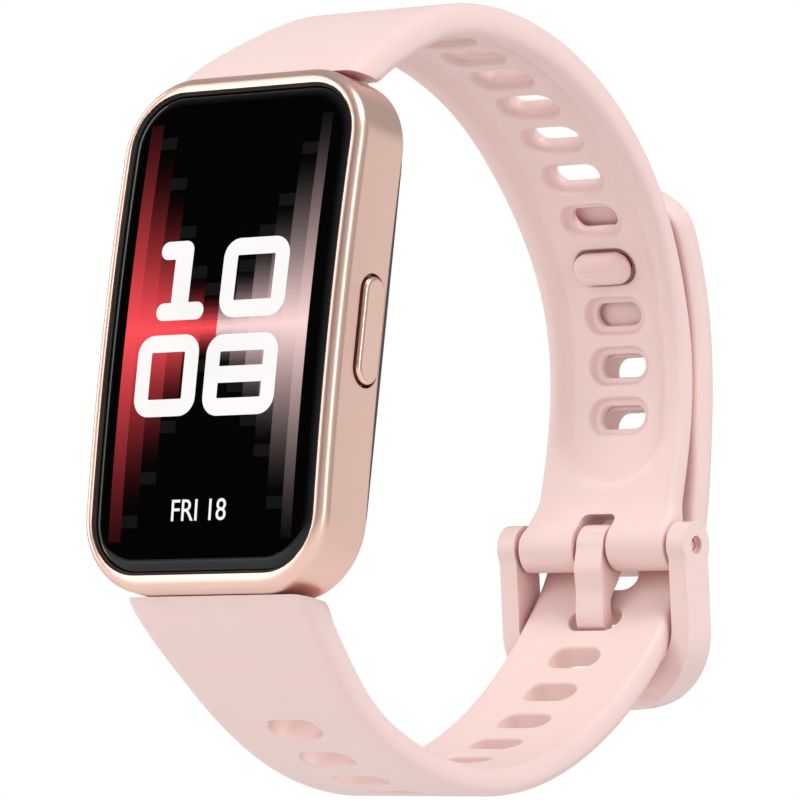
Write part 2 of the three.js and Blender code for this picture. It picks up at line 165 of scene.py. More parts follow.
def basis(x_axis, y_axis, z_axis, at):
    matrix = Matrix((x_axis, y_axis, z_axis)).transposed().to_4x4()
    matrix.translation = Vector(at)
    return matrix


def facing_y(y):
    """Outline (x, z) laid square to Y and pushed towards +Y from depth y."""
    return basis((1, 0, 0), (0, 0, 1), (0, 1, 0), (0, y, 0))


def facing_x(x, y=0, z=0):
    """Outline (y, z) laid square to X and pushed towards +X."""
    return basis((0, 1, 0), (0, 0, 1), (1, 0, 0), (x, y, z))


def soften(obj, width, segments, wanted, profile=0.5, clamp=True):
    """Rounds over the edges that pass a test."""
    mesh = open_edit(obj)
    for edge in mesh.edges:
        edge.select = wanted(edge)
    bmesh.update_edit_mesh(obj.data)
    bpy.ops.mesh.bevel(offset=width, segments=segments, profile=profile,
                       offset_type="OFFSET", clamp_overlap=clamp, affect="EDGES")
    close_edit()


def sharp(edge, degrees=35):
    return len(edge.link_faces) == 2 and edge.calc_face_angle(0) > math.radians(degrees)


def level(edge, axis, value, slack=0.02):
    return all(abs(v.co[axis] - value) < slack for v in edge.verts)


def carve(obj, *cutters, operation="DIFFERENCE"):
    for cutter in cutters:
        hold(obj)
        modifier = obj.modifiers.new("carve", "BOOLEAN")
        modifier.operation = operation
        modifier.solver = "EXACT"
        modifier.object = cutter
        bpy.ops.object.modifier_apply(modifier=modifier.name)
        bpy.data.objects.remove(cutter)
    return obj


def stitch(obj):
    """Joins points that lie on one another and closes any sliver left open."""
    open_edit(obj, "VERT")
    bpy.ops.mesh.select_all(action="SELECT")
    bpy.ops.mesh.remove_doubles(threshold=0.0005)
    bpy.ops.mesh.select_all(action="SELECT")
    bpy.ops.mesh.fill_holes(sides=3)
    close_edit()


def slice_along(obj, axis, stations):
    """Cuts edge rows across the whole piece."""
    open_edit(obj, "FACE")
    for station in stations:
        point = [0, 0, 0]
        normal = [0, 0, 0]
        point[axis] = station
        normal[axis] = 1
        bpy.ops.mesh.select_all(action="SELECT")
        bpy.ops.mesh.bisect(plane_co=point, plane_no=normal)
    close_edit()


def settle(obj, finish, slot, body, *nodes, angle=35, weighted=True):
    """Brings a finished piece into metres and gives it its finish and its body."""
    obj.data.transform(Matrix.Scale(0.001, 4))
    hold(obj)
    bpy.ops.object.shade_smooth_by_angle(angle=math.radians(angle))
    if weighted:
        modifier = obj.modifiers.new("even shading", "WEIGHTED_NORMAL")
        modifier.keep_sharp = True
        modifier.weight = 60
        bpy.ops.object.modifier_apply(modifier=modifier.name)
    obj.data.materials.clear()
    obj.data.materials.append(finish)
    if nodes:
        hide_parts(*nodes)
    if body:
        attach(obj, body)
    return obj


# ------------------------------------------------------------ finishes

class Finish:
    """A material and short ways to wire its nodes."""

    def __init__(self, name, **settings):
        self.material = bpy.data.materials.new(name)
        self.material.use_nodes = True
        self.tree = self.material.node_tree
        self.shader = self.tree.nodes["Principled BSDF"]
        for socket, value in settings.items():
            self.shader.inputs[socket.replace("_", " ")].default_value = value
        self.place = self.add("ShaderNodeTexCoord").outputs["Object"]

    def add(self, kind, **inputs):
        node = self.tree.nodes.new(kind)
        for socket, value in inputs.items():
            self.feed(node.inputs[socket.replace("_", " ")], value)
        return node

    def feed(self, socket, value):
        if isinstance(value, bpy.types.NodeSocket):
            self.tree.links.new(value, socket)
        else:
            socket.default_value = value

    def sum(self, operation, *values):
        node = self.tree.nodes.new("ShaderNodeMath")
        node.operation = operation
        for socket, value in zip(node.inputs, values):
            self.feed(socket, value)
        return node.outputs[0]

    def noise(self, scale, detail=3.0, roughness=0.5, stretch=None):
        place = self.place
        if stretch:
            place = self.add("ShaderNodeMapping", Vector=place, Scale=stretch).outputs[0]
        node = self.add("ShaderNodeTexNoise", Vector=place, Scale=scale, Detail=detail,
                        Roughness=roughness)
        return node.outputs["Fac"]

    def spread(self, value, low, high, from_low=0.3, from_high=0.7):
        node = self.add("ShaderNodeMapRange", Value=value)
        node.inputs["From Min"].default_value = from_low
        node.inputs["From Max"].default_value = from_high
        node.inputs["To Min"].default_value = low
        node.inputs["To Max"].default_value = high
        return node.outputs[0]

    def mix(self, share, first, second):
        node = self.tree.nodes.new("ShaderNodeMix")
        node.data_type = "RGBA"
        self.feed(node.inputs[0], share)
        self.feed(node.inputs[6], first)
        self.feed(node.inputs[7], second)
        return node.outputs[2]

    def colour(self, value):
        self.feed(self.shader.inputs["Base Color"], value)

    def rough(self, value):
        self.feed(self.shader.inputs["Roughness"], value)

    def relief(self, height, strength, depth):
        node = self.add("ShaderNodeBump", Height=height, Strength=strength, Distance=depth)
        self.tree.links.new(node.outputs[0], self.shader.inputs["Normal"])


def soft_silicone(name, light, deep, roughness=0.42, grain=0.12):
    """Moulded silicone: a fine matt skin, faint clouding, and painted shade: a deeper pink painted into
    creases and hollows where ambient occlusion finds them.
    """
    f = Finish(name, Specular_IOR_Level=0.42, Sheen_Weight=0.08, Sheen_Roughness=0.45,
               Subsurface_Weight=0.08, Subsurface_Scale=0.0008)
    f.shader.inputs["Subsurface Radius"].default_value = (1.0, 0.42, 0.34)
    f.shader.inputs["Sheen Tint"].default_value = (1.0, 0.93, 0.91, 1)
    skin = f.mix(f.spread(f.noise(160, 4), 0.0, 1.0), light, deep)
    # painted shade: ambient occlusion finds creases, hollows and the gaps between parts, and the colour there
    # is mixed towards a deeper pink
    painted_crease_shade = f.add("ShaderNodeAmbientOcclusion", Distance=0.0022)
    painted_crease_shade.samples = 8
    share = f.spread(painted_crease_shade.outputs["AO"], 0.0, 1.0, 0.15, 0.8)
    f.colour(f.mix(share, (0.70, 0.40, 0.395, 1), skin))
    f.rough(f.spread(f.noise(2600, 3), roughness - 0.02, roughness + 0.03))
    f.relief(f.noise(9000, 2), grain, 0.00001)
    return f.material


def satin_metal(name, light, deep, roughness, grain=7000, stretch=None):
    """Blasted and anodised metal: a fine even grain with a faint drift in tone."""
    f = Finish(name, Metallic=1.0)
    f.colour(f.mix(f.spread(f.noise(120, 3), 0.0, 1.0), light, deep))
    f.rough(f.spread(f.noise(grain, 2, 0.6, stretch), roughness - 0.02, roughness + 0.03))
    f.relief(f.noise(grain * 1.3, 2, 0.6, stretch), 0.06, 0.000008)
    return f.material


def moulded_plastic(name, light, deep, roughness, specular=0.5, grain=5000):
    f = Finish(name, Specular_IOR_Level=specular)
    f.colour(f.mix(f.spread(f.noise(300, 4), 0.0, 1.0), light, deep))
    f.rough(f.spread(f.noise(grain, 3), roughness - 0.04, roughness + 0.08))
    f.relief(f.noise(grain, 3), 0.15, 0.00001)
    return f.material


def lit_glass(name):
    """Black glass with the lit picture behind it: bars of light that fade away
    from a bright line between the two rows of figures."""
    f = Finish(name, Roughness=0.035, Specular_IOR_Level=0.4, IOR=1.5)
    f.colour(f.mix(f.spread(f.noise(60, 2), 0.0, 1.0),
                   (0.0012, 0.0012, 0.0014, 1), (0.0022, 0.0022, 0.0025, 1)))
    split = f.add("ShaderNodeSeparateXYZ", Vector=f.place)
    x = f.sum("MULTIPLY", split.outputs["X"], 1000.0)
    z = f.sum("MULTIPLY", split.outputs["Z"], 1000.0)
    height = f.sum("ABSOLUTE", z)
    column = f.sum("MULTIPLY", f.sum("FLOOR", f.sum("DIVIDE", x, 1.62)), 1.62)
    middle = f.sum("ABSOLUTE", f.sum("ADD", column, 0.5))
    jitter = f.add("ShaderNodeTexWhiteNoise")
    jitter.noise_dimensions = "1D"
    f.feed(jitter.inputs["W"], column)
    reach = f.sum("ADD", 1.8, f.sum("MULTIPLY", f.sum("POWER", f.sum("DIVIDE", middle, 9.0), 1.9), 18.0))
    reach = f.sum("ADD", reach, f.sum("MULTIPLY", jitter.outputs["Value"], 2.2))
    stepped = f.sum("MULTIPLY", f.sum("FLOOR", f.sum("DIVIDE", height, 0.55)), 0.55)
    fade = f.sum("SUBTRACT", 1.0, f.sum("DIVIDE", f.sum("ADD", f.sum("MULTIPLY", stepped, 0.25),
                                                  f.sum("MULTIPLY", height, 0.75)), reach))
    fade = f.sum("POWER", f.sum("MAXIMUM", fade, 0.0), 1.25)
    tip = f.sum("MULTIPLY", f.sum("LESS_THAN", height, f.sum("ADD", reach, 1.0)),
                f.sum("GREATER_THAN", height, reach))
    inside = f.sum("MULTIPLY", f.sum("LESS_THAN", f.sum("ABSOLUTE", f.sum("ADD", x, 0.1)), 9.25),
                   f.sum("LESS_THAN", height, 17.2))
    red = f.mix(fade, (0.03, 0.004, 0.005, 1), (1.0, 0.085, 0.10, 1))
    pale = f.mix(fade, (0.05, 0.045, 0.045, 1), (0.98, 0.69, 0.68, 1))
    tone = f.mix(f.sum("GREATER_THAN", x, 0.0), red, pale)
    glow = f.mix(tip, tone, (0.20, 0.19, 0.19, 1))
    power = f.sum("MULTIPLY", inside, f.sum("ADD", fade, f.sum("MULTIPLY", tip, 0.035)))
    f.feed(f.shader.inputs["Emission Color"], glow)
    f.feed(f.shader.inputs["Emission Strength"], power)
    return f.material


def lit_figure(name):
    f = Finish(name, Roughness=0.05, Specular_IOR_Level=0.4)
    f.colour((0.01, 0.01, 0.01, 1))
    f.feed(f.shader.inputs["Emission Color"],
           f.mix(f.spread(f.noise(220, 2), 0.0, 1.0), (0.90, 0.88, 0.88, 1), (0.97, 0.93, 0.93, 1)))
    f.feed(f.shader.inputs["Emission Strength"], 0.95)
    return f.material


BLUSH = soft_silicone("blush silicone", (0.88, 0.665, 0.63, 1), (0.87, 0.65, 0.615, 1))
STUD = soft_silicone("polished blush", (0.87, 0.63, 0.595, 1), (0.86, 0.615, 0.58, 1), 0.17, 0.01)
BUCKLE = soft_silicone("buckle blush", (0.88, 0.665, 0.63, 1), (0.87, 0.65, 0.615, 1), 0.24, 0.015)
ROSE = satin_metal("rose gold", (0.95, 0.655, 0.565, 1), (0.935, 0.635, 0.545, 1), 0.31)
CAP = satin_metal("rose gold cap", (0.95, 0.66, 0.57, 1), (0.93, 0.635, 0.545, 1), 0.25)
GLASS = lit_glass("display glass")
FIGURES = lit_figure("lit figures")
RUBBER = moulded_plastic("black seal rubber", (0.012, 0.012, 0.013, 1), (0.02, 0.02, 0.021, 1), 0.6, 0.3)
REAR = moulded_plastic("charcoal rear shell", (0.028, 0.028, 0.03, 1), (0.036, 0.036, 0.038, 1), 0.42)
WINDOW = moulded_plastic("sensor glass", (0.004, 0.004, 0.005, 1), (0.008, 0.008, 0.01, 1), 0.08, 0.7, 900)
CONTACT = satin_metal("gold contact", (0.9, 0.68, 0.36, 1), (0.86, 0.62, 0.32, 1), 0.22)
PIN = satin_metal("rose pin", (0.90, 0.66, 0.57, 1), (0.86, 0.62, 0.54, 1), 0.24, 4000, (1, 12, 12))
LINK = satin_metal("link steel", (0.62, 0.62, 0.63, 1), (0.55, 0.55, 0.56, 1), 0.32, 4000, (1, 9, 9))


# ------------------------------------------------------------ case

def arch(obj, front, rear, front_rise, rear_rise):
    """Bends a piece to the gentle arch of the case, seen from the side."""
    for vertex in obj.data.vertices:
        share = min(1, max(0, (vertex.co.y - front) / (rear - front)))
        rise = front_rise * (1 - share) + rear_rise * share
        vertex.co.y += rise * vertex.co.z ** 2


def case_stations(half, count=26):
    return [half * (2 * k / count - 1) for k in range(1, count)]


def make_case():
    case = block("case_shell", (-CASE_WIDTH / 2, CASE_FRONT, -CASE_LENGTH / 2),
                 (CASE_WIDTH / 2, CASE_REAR, CASE_LENGTH / 2))
    soften(case, 6.3, 18, lambda e: not level(e, 1, CASE_FRONT) and not level(e, 1, CASE_REAR))
    soften(case, 0.95, 7, lambda e: level(e, 1, CASE_FRONT) and sharp(e, 60))
    soften(case, 0.55, 4, lambda e: level(e, 1, CASE_REAR) and sharp(e, 60))
    seat = cut_sheet("seat", rounded(22.42, 39.79, 4.65, 14), 3.2, facing_y(-9.5))
    carve(case, seat)
    soften(case, 0.13, 2, lambda e: level(e, 1, CASE_FRONT) and sharp(e, 60))
    slice_along(case, 2, case_stations(CASE_LENGTH / 2))
    arch(case, CASE_FRONT, CASE_REAR, FRONT_ARCH, REAR_ARCH)
    cavity = cut_sheet("cavity", rounded(20.4, 35.6, 3.4), 5.5, facing_y(-6.5))
    rabbet = cut_sheet("rabbet", rounded(23.0, 37.4, 4.4), 3.0, facing_y(-4.0))
    groove = cut_sheet("groove", rounded(3.25, 9.25, 1.62, 14), 2, facing_x(11.0, BUTTON_Y))
    stem = rod("stem hole", 0.9, 9, 11.5, BUTTON_Y, 0)
    carve(case, cavity, rabbet, groove, stem)
    for side in (1, -1):
        pocket = block("pocket", (-6.3, -5.2, min(side * 19.3, side * 24)),
                       (6.3, -2.75, max(side * 19.3, side * 24)))
        catch = block("catch", (6.2, -4.9, side * 19.95 - 0.65), (8.0, -3.1, side * 19.95 + 0.65))
        carve(case, pocket, catch)
    return settle(case, ROSE, "case_metal", "band", "mid_frame")


def make_glass():
    glass = block("glass_top", (-11.1, CASE_FRONT, -19.785), (11.1, -6.9, 19.785))
    soften(glass, 4.5, 16, lambda e: not level(e, 1, CASE_FRONT) and not level(e, 1, -6.9))
    soften(glass, 1.55, 9, lambda e: level(e, 1, CASE_FRONT) and sharp(e, 60))
    for vertex in glass.data.vertices:
        drop = vertex.co.y - CASE_FRONT
        if drop < 1.6:
            vertex.co.y = CASE_FRONT + 0.42 * drop
        else:
            vertex.co.y = -7.3
    slice_along(glass, 2, case_stations(19.785))
    arch(glass, CASE_FRONT, -7.3, FRONT_ARCH, FRONT_ARCH)
    return settle(glass, GLASS, "cover_glass", "band", "cover_glass")


def lay_on_glass(obj, lift):
    for vertex in obj.data.vertices:
        vertex.co.y = vertex.co.y + CASE_FRONT + FRONT_ARCH * vertex.co.z ** 2 - lift
    return obj


def figure_bar(name, left, right, low, high, radius):
    shape = [(x + (left + right) / 2, z + (low + high) / 2)
             for x, z in rounded(right - left, high - low, radius, 8)]
    return cut_sheet(name, shape, 0.03, facing_y(0))


def figure_ring(name, left, right, low, high, stroke, radius=1.55):
    ring = figure_bar(name, left, right, low, high, radius)
    hole = figure_bar("hole", left + stroke, right - stroke, low + stroke, high - stroke, 0.1)
    hole.data.transform(Matrix.Diagonal((1, 100, 1, 1)))
    hole.data.transform(Matrix.Translation((0, -1, 0)))
    return carve(ring, hole)


def finish_figure(obj):
    slice_along(obj, 2, [k * 0.8 for k in range(-24, 25)])
    lay_on_glass(obj, 0.035)
    return settle(obj, FIGURES, "display", "band")


def make_figures():
    one = figure_bar("figure_one", -4.95, -3.2, 0.9, 7.25, 0.8)
    carve(one, figure_bar("hook", -6.5, -3.3, 5.75, 7.25, 0.74), operation="UNION")
    carve(one, figure_bar("foot", -6.35, -1.55, 0.7, 2.15, 0.72), operation="UNION")
    finish_figure(one)
    finish_figure(figure_ring("figure_nought_hour", 0.0, 6.6, 0.7, 7.2, 1.4))
    finish_figure(figure_ring("figure_nought_minute", -7.75, -1.55, -7.15, -0.5, 1.4))
    eight = figure_ring("figure_eight", -0.75, 6.45, -7.25, -0.65, 1.4)
    carve(eight, figure_bar("waist", 0.0, 5.7, -4.6, -3.25, 0.1), operation="UNION")
    finish_figure(eight)


def make_date():
    clear_bench()
    bpy.ops.object.text_add()
    text = bpy.context.object
    text.data.body = "FRI 18"
    text.data.align_x = "CENTER"
    text.data.size = 2.5
    text.data.extrude = 0.012
    text.data.space_character = 0.98
    bpy.ops.object.convert(target="MESH")
    text = bpy.context.object
    text.name = "date_line"
    text.data.transform(basis((0.90, 0, 0), (0, 0, 1), (0, -1, 0), (-0.3, 0, -15.62)))
    lay_on_glass(text, 0.03)
    return settle(text, FIGURES, "display", "band", weighted=False)


def make_gasket():
    ring = cut_sheet("gasket_line", rounded(22.44, 39.81, 4.66, 14), 0.75, facing_y(-8.78))
    hole = cut_sheet("hole", rounded(21.9, 39.27, 4.4, 14), 3, facing_y(-10))
    carve(ring, hole)
    slice_along(ring, 2, case_stations(19.9))
    arch(ring, CASE_FRONT, -7.3, FRONT_ARCH, FRONT_ARCH)
    return settle(ring, RUBBER, "seal_rubber", "band")


def make_button():
    cap = cut_sheet("button_top", rounded(2.7, 8.7, 1.34, 14), 1.35, facing_x(11.35, BUTTON_Y))
    soften(cap, 0.55, 6, lambda e: level(e, 0, 12.7) and sharp(e, 60))
    stem = rod("stem", 0.6, 9.75, 11.6, BUTTON_Y, 0)
    carve(cap, stem, operation="UNION")
    return settle(cap, CAP, "case_metal", "button", "button_cap")


def make_rear():
    shell = cut_sheet("rear_shell", rounded(22.4, 36.8, 4.2, 12), 1.2, facing_y(-2.6))
    soften(shell, 0.25, 3, lambda e: level(e, 1, -1.4) and sharp(e, 60))
    crown = cut_sheet("crown", rounded(20.6, 34.6, 4.0, 12), 0.8, facing_y(-1.7))
    soften(crown, 0.45, 5, lambda e: level(e, 1, -0.9) and sharp(e, 60))
    bump = cut_sheet("bump", rounded(16.6, 19.4, 6.6, 14), 0.85, facing_y(-1.2))
    soften(bump, 0.5, 5, lambda e: level(e, 1, -0.35) and sharp(e, 60))
    carve(shell, crown, bump, operation="UNION")
    opening = cut_sheet("opening", rounded(12.3, 14.3, 5.35, 14), 4, facing_y(-3))
    carve(shell, opening)
    for x in (-2.6, 2.6):
        clear_bench()
        bpy.ops.mesh.primitive_cylinder_add(vertices=40, radius=1.35, depth=4,
                                            location=(x, -1, -14), rotation=(math.pi / 2, 0, 0))
        hole = bpy.context.object
        bpy.ops.object.transform_apply(location=True, rotation=True, scale=True)
        carve(shell, hole)
    settle(shell, REAR, "rear_plastic", "band", "rear_cover")
    pane = cut_sheet("sensor_pane", rounded(11.8, 13.8, 5.1, 14), 1.2, facing_y(-1.2))
    soften(pane, 0.35, 5, lambda e: level(e, 1, 0) and sharp(e, 60))
    settle(pane, WINDOW, "sensor_window", "band", "sensor_window")


def make_contacts():
    for name, x in (("left", -2.6), ("right", 2.6)):
        clear_bench()
        bpy.ops.mesh.primitive_cylinder_add(vertices=40, radius=1.05, depth=2.1,
                                            location=(x, -1.85, -14), rotation=(math.pi / 2, 0, 0))
        pad = bpy.context.object
        pad.name = f"charging_pad_{name}"
        bpy.ops.object.transform_apply(location=True, rotation=True, scale=True)
        soften(pad, 0.16, 3, lambda e: level(e, 1, -0.8) and sharp(e, 60))
        settle(pad, CONTACT, "contact_gold", "band", f"charge_contact_{name}")


# ------------------------------------------------------------ straps

class CentreLine:
    """A smooth line in the Y-Z plane, stepped evenly along its length."""

    STEP = 0.25

    def __init__(self, *points):
        points = [Vector(p) for p in points]
        guide = [2 * points[0] - points[1], *points, 2 * points[-1] - points[-2]]
        dense = []
        for a, b, c, d in zip(guide, guide[1:], guide[2:], guide[3:]):
            dense += [self.between(a, b, c, d, k / 40) for k in range(40)]
        dense.append(points[-1])
        travelled = [0.0]
        for p, q in zip(dense, dense[1:]):
            travelled.append(travelled[-1] + (q - p).length)
        self.length = travelled[-1]
        count = int(round(self.length / self.STEP))
        self.step = self.length / count
        self.points = []
        k = 0
        for i in range(count + 1):
            want = min(i * self.step, self.length)
            while k < len(travelled) - 2 and travelled[k + 1] < want:
                k += 1
            share = (want - travelled[k]) / (travelled[k + 1] - travelled[k])
            self.points.append(dense[k].lerp(dense[k + 1], share))
        for _ in range(70):
            inner = [(a + 2 * b + c) / 4 for a, b, c in
                     zip(self.points, self.points[1:], self.points[2:])]
            self.points = [self.points[0], *inner, self.points[-1]]

    @staticmethod
    def between(a, b, c, d, t):
        """Centripetal Catmull-Rom step from b to c."""
        ta, tb, tc = ((q - p).length ** 0.5 for p, q in ((a, b), (b, c), (c, d)))
        m1 = ((b - a) / ta - (c - a) / (ta + tb) + (c - b) / tb) * tb
        m2 = ((c - b) / tb - (d - b) / (tb + tc) + (d - c) / tc) * tb
        return (b + m1 * t + (-3 * b + 3 * c - 2 * m1 - m2) * t * t
                + (2 * b - 2 * c + m1 + m2) * t ** 3)

    def at(self, distance):
        k = min(max(int(distance / self.step), 0), len(self.points) - 2)
        share = distance / self.step - k
        return self.points[k] + (self.points[k + 1] - self.points[k]) * share

    def along(self, distance):
        reach = 0.4
        low = max(0.0, min(distance - reach, self.length - 2 * reach))
        return (self.at(low + 2 * reach) - self.at(low)).normalized()

    def place(self, distance, x, lift):
        y, z = self.at(distance)
        ay, az = self.along(distance)
        return Vector((x, y + lift * az, z - lift * ay))

    def where(self, height, start):
        """Distance at which the line passes a height, looking on from a start."""
        before = self.at(start)[1] > height
        distance = start
        while (self.at(distance)[1] > height) == before:
            distance += 0.02
        return distance


UPPER = CentreLine(
    (-5.35, 20.2), (-4.0, 21.6), (2.2, 26.0), (7.2, 28.85), (12.85, 30.45),
    (18.8, 30.75), (24.75, 29.95), (30.35, 28.05), (35.5, 25.05), (40.1, 21.1),
    (43.8, 16.3), (46.35, 10.8), (47.45, 4.9), (47.4, -1.0), (46.9, -6.5))
LOWER = CentreLine(
    (-5.35, -20.2), (-4.0, -21.6), (1.35, -25.6), (6.35, -28.75), (11.8, -30.75),
    (17.5, -31.65), (23.4, -31.5), (29.2, -30.05), (34.6, -27.4), (39.45, -23.9),
    (43.75, -19.5), (47.3, -14.5), (49.85, -9.6), (50.55, -4.0), (50.25, 2.0),
    (49.55, 8.0), (48.0, 14.0), (45.2, 19.6), (42.1, 23.4))
STUD_AT = UPPER.where(16.95, 40)
TONGUE_AT = LOWER.where(-14.25, 45)


def smooth_step(value, low, high):
    t = min(1.0, max(0.0, (value - low) / (high - low)))
    return t * t * (3 - 2 * t)


def strap_half_width(distance, width):
    flare = min(1.0, max(0.0, 1 - (distance - 1.5) / 18))
    # the very root tucks in behind the case's round corners
    tuck = ROOT_TUCK * max(0.0, 1 - distance / 5)
    return (width + (ROOT_WIDTH - width) * flare * flare) / 2 - tuck


def pill_point(x, y, half_length, half_width):
    """Where a ray from the middle through (x, y) leaves a pill."""
    flat = half_length - half_width
    if abs(y) > 1e-9 and abs(x / y) * half_width <= flat:
        t = half_width / abs(y)
    else:
        # meets the round end
        a = x * x + y * y
        b = -abs(x) * flat
        c = flat * flat - half_width ** 2
        t = (-b + math.sqrt(b * b - a * c)) / a
    return x * t, y * t


class Strap:
    """A band of soft-edged section laid along a centre line, with rows of slots
    whose rims and ledges run ring by ring through its thickness."""

    PANEL_ROWS = 14
    CELL_ROWS = 6
    OUTER_ROWS = 5
    EDGE_ROWS = 9

    def __init__(self, name, line, half_width, top, bottom, edge):
        self.name = name
        self.line = line
        self.half_width = half_width
        self.top = top
        self.bottom = bottom
        self.edge = edge
        self.mesh = bmesh.new()
        self.rows = []

    def columns(self, distance):
        """Places across the strap, from its left edge rounding to its right one."""
        limit = self.half_width(distance) - self.edge(distance)
        panel = min(SLOT_PANEL, 0.62 * limit)
        outer = [panel + (limit - panel) * k / self.OUTER_ROWS for k in range(1, self.OUTER_ROWS + 1)]
        inner = [panel * (2 * k / self.PANEL_ROWS - 1) for k in range(self.PANEL_ROWS + 1)]
        return [-x for x in reversed(outer)] + inner + outer

    def section(self, distance):
        """Closed outline (x, lift): top left to right, down, bottom back, up."""
        columns = self.columns(distance)
        edge = self.edge(distance)
        limit = columns[-1]
        roof = self.top(distance, limit)
        floor = self.bottom(distance, limit)
        middle = (roof + floor) / 2
        half = (roof - floor) / 2
        rim = []
        for k in range(1, self.EDGE_ROWS):
            a = math.pi * k / self.EDGE_ROWS
            bow = math.copysign(abs(math.cos(a)) ** 0.9, math.cos(a))
            rim.append((limit + edge * math.sin(a) ** 0.8, middle + half * bow))
        points = [(x, self.top(distance, x)) for x in columns] + rim
        points += [(x, self.bottom(distance, x)) for x in reversed(columns)]
        return points + [(-x, lift) for x, lift in reversed(rim)]

    def add_row(self, distance):
        row = [self.mesh.verts.new(self.line.place(distance, x, lift))
               for x, lift in self.section(distance)]
        self.rows.append((distance, row))

    def add_root_row(self, root, height, share):
        """A row between the flat trimmed end of the strap and its first square row."""
        row = []
        for x, lift in self.section(0.3 + (root - 0.3) * share):
            s = 0.3
            for _ in range(8):
                s += (height - self.line.place(s, x, lift).z) / self.line.along(s)[1]
            s += (root - s) * share
            row.append(self.mesh.verts.new(self.line.place(s, x, lift)))
        self.rows.append((root * share, row))

    def top_vertex(self, row, column):
        return self.rows[row][1][self.OUTER_ROWS + column]

    def bottom_vertex(self, row, column):
        first = 2 * self.OUTER_ROWS + self.PANEL_ROWS + 1 + self.EDGE_ROWS - 1
        return self.rows[row][1][first + self.OUTER_ROWS + self.PANEL_ROWS - column]

    def skin(self, slots):
        """Faces between rows, leaving out the panels where slots go."""
        open_rows = {row + k for row, _ in slots for k in range(self.CELL_ROWS)}
        count = len(self.rows[0][1])
        top_first = self.OUTER_ROWS
        bottom_first = 3 * self.OUTER_ROWS + self.PANEL_ROWS + self.EDGE_ROWS
        for i in range(len(self.rows) - 1):
            a, b = self.rows[i][1], self.rows[i + 1][1]
            for j in range(count):
                on_top = top_first <= j < top_first + self.PANEL_ROWS
                below = bottom_first <= j < bottom_first + self.PANEL_ROWS
                if i in open_rows and (on_top or below):
                    continue
                k = (j + 1) % count
                self.mesh.faces.new((a[j], a[k], b[k], b[j]))
        self.mesh.faces.new(self.rows[0][1])
        self.mesh.faces.new(self.rows[-1][1])

    def rim_path(self, row, vertex_of):
        """Vertices round one slot panel, with their places in the panel."""
        last = self.CELL_ROWS
        path = [(row, c) for c in range(self.PANEL_ROWS)]
        path += [(row + r, self.PANEL_ROWS) for r in range(last)]
        path += [(row + last, c) for c in range(self.PANEL_ROWS, 0, -1)]
        path += [(row + r, 0) for r in range(last, 0, -1)]
        found = []
        for r, c in path:
            x = SLOT_PANEL * (2 * c / self.PANEL_ROWS - 1)
            found.append((vertex_of(r, c), self.rows[r][0], x))
        return found

    def cut_slot(self, row, centre, pitch, rings):
        """rings: (half length, half width, level from face, face) downwards, where
        face is 'top' or 'bottom'."""
        upper = self.rim_path(row, self.top_vertex)
        lower = self.rim_path(row, self.bottom_vertex)
        loops = [[v for v, _, _ in upper]]
        first, last = rings[0], rings[-1]

        def target(s, x, ring):
            dx = x / SLOT_PANEL * ring[0]
            dy = (s - centre) / (pitch / 2) * ring[1]
            return pill_point(dx, dy, ring[0], ring[1])

        def face_ring(path, ring, share, surface):
            loop = []
            for _, s, x in path:
                px, py = target(s, x, ring)
                nx = x + (px - x) * share
                ns = s + (centre + py - s) * share
                loop.append(self.mesh.verts.new(self.line.place(ns, nx, surface(ns, nx))))
            return loop

        for share in (0.4, 0.75):
            loops.append(face_ring(upper, first, share, self.top))
        for ring in rings:
            surface = self.top if ring[3] == "top" else self.bottom
            loop = []
            for _, s, x in upper:
                px, py = target(s, x, ring)
                lift = surface(centre + py, px) + ring[2]
                loop.append(self.mesh.verts.new(self.line.place(centre + py, px, lift)))
            loops.append(loop)
        for share in (0.75, 0.4):
            loops.append(face_ring(lower, last, share, self.bottom))
        loops.append([v for v, _, _ in lower])
        for a, b in zip(loops, loops[1:]):
            for k in range(len(a)):
                m = (k + 1) % len(a)
                self.mesh.faces.new((a[k], a[m], b[m], b[k]))

    def done(self):
        bmesh.ops.recalc_face_normals(self.mesh, faces=self.mesh.faces)
        data = bpy.data.meshes.new(self.name)
        self.mesh.to_mesh(data)
        self.mesh.free()
        obj = bpy.data.objects.new(self.name, data)
        bpy.context.scene.collection.objects.link(obj)
        return obj


def round_rim(half_length, half_width, radius, face, inwards, steps=5):
    """Rings of a rim that rolls over from a face into a slot."""
    rings = []
    for k in range(steps + 1):
        a = k / steps * math.pi / 2
        out = radius * (1 - math.sin(a))
        drop = radius * (1 - math.cos(a))
        rings.append((half_length + out, half_width + out, -drop * inwards, face))
    return rings


def lay_rows(strap, height, first_cell, cells, pitch, stops):
    """Adds the rows of a strap: the trimmed root, the even lead, the slot cells
    and the given stops beyond them. Returns the slots as (row, centre)."""
    root = 5.0
    for share in (0.0, 0.2, 0.4, 0.6, 0.8):
        strap.add_root_row(root, height, share)
    lead = max(1, int((first_cell - root) / 0.8))
    for k in range(lead):
        strap.add_row(root + (first_cell - root) * k / lead)
    slots = []
    for cell in range(cells):
        slots.append((len(strap.rows), first_cell + (cell + 0.5) * pitch))
        for k in range(strap.CELL_ROWS):
            strap.add_row(first_cell + (cell + k / strap.CELL_ROWS) * pitch)
    for stop in stops:
        strap.add_row(stop)
    return slots


def link_room(side):
    outline = [(-5.2, 20.6), (-2.75, 20.6), (-2.75, 21.5), (-0.65, 23.55),
               (-1.85, 24.8), (-4.6, 22.15), (-5.2, 21.6)]
    return cut_sheet("link room", [(y, side * z) for y, z in outline], 13.8, facing_x(-6.9))


